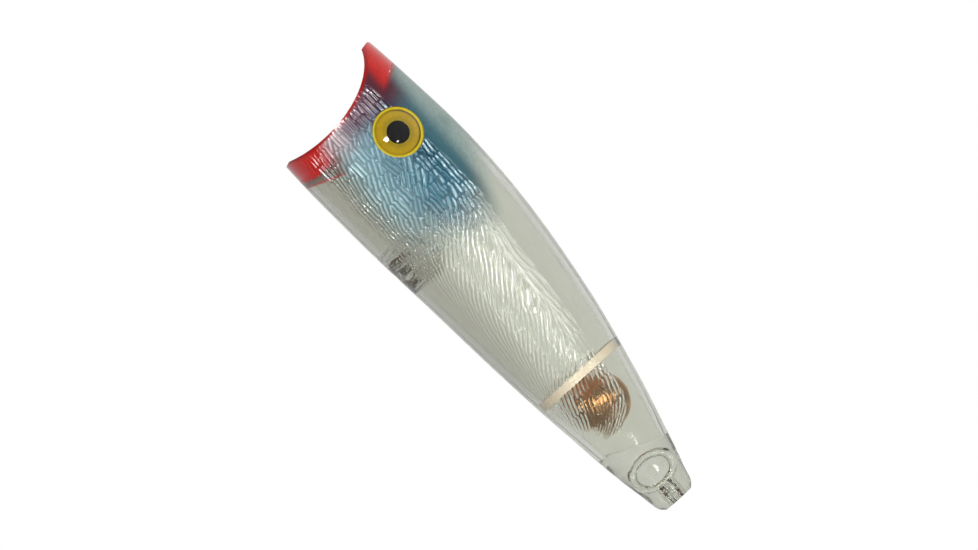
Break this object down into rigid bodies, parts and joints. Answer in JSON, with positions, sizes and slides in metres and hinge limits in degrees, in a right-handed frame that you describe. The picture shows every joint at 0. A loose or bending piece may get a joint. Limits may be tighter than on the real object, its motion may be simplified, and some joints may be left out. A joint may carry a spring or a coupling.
{
  "type": "topwater popper",
  "caption": "Clear popper lure body with a cupped mouth, domed eyes, a bulkhead and a rattle ball in a sealed chamber, with hanger pockets in tail and belly.",
  "frame": {"origin": "centre of the flat tail face, on the axis of the tail hanger socket", "axes": "+X out of the tail along the body, +Z towards the back of the lure, +Y to the lure's right side; the left side faces -Y"},
  "size_m": [0.0641, 0.015, 0.0186],
  "materials": {
    "left_shell": "clear moulded plastic, airbrushed at the head",
    "right_shell": "clear moulded plastic, airbrushed at the head",
    "mouth_cup": "gloss red",
    "rattle_bulkhead": "cream",
    "rattle_ball": "copper-coloured plating",
    "eye_iris_left": "yellow foil",
    "eye_pupil_left": "black",
    "eye_dome_left": "clear",
    "eye_iris_right": "yellow foil",
    "eye_pupil_right": "black",
    "eye_dome_right": "clear"
  },
  "bodies": {
    "lure_body": {"left_shell": "left_shell", "right_shell": "right_shell", "mouth_cup": "mouth_cup", "rattle_bulkhead": "rattle_bulkhead", "eye_iris_left": "eye_iris_left", "eye_pupil_left": "eye_pupil_left", "eye_dome_left": "eye_dome_left", "eye_iris_right": "eye_iris_right", "eye_pupil_right": "eye_pupil_right", "eye_dome_right": "eye_dome_right"},
    "ball": {"rattle_ball": "rattle_ball"}
  },
  "joints": [
    {"name": "ball_roll", "type": "slide", "parent": "lure_body", "child": "ball", "axis": [1, 0, 0], "range_m": [0, 0.0026]}
  ]
}
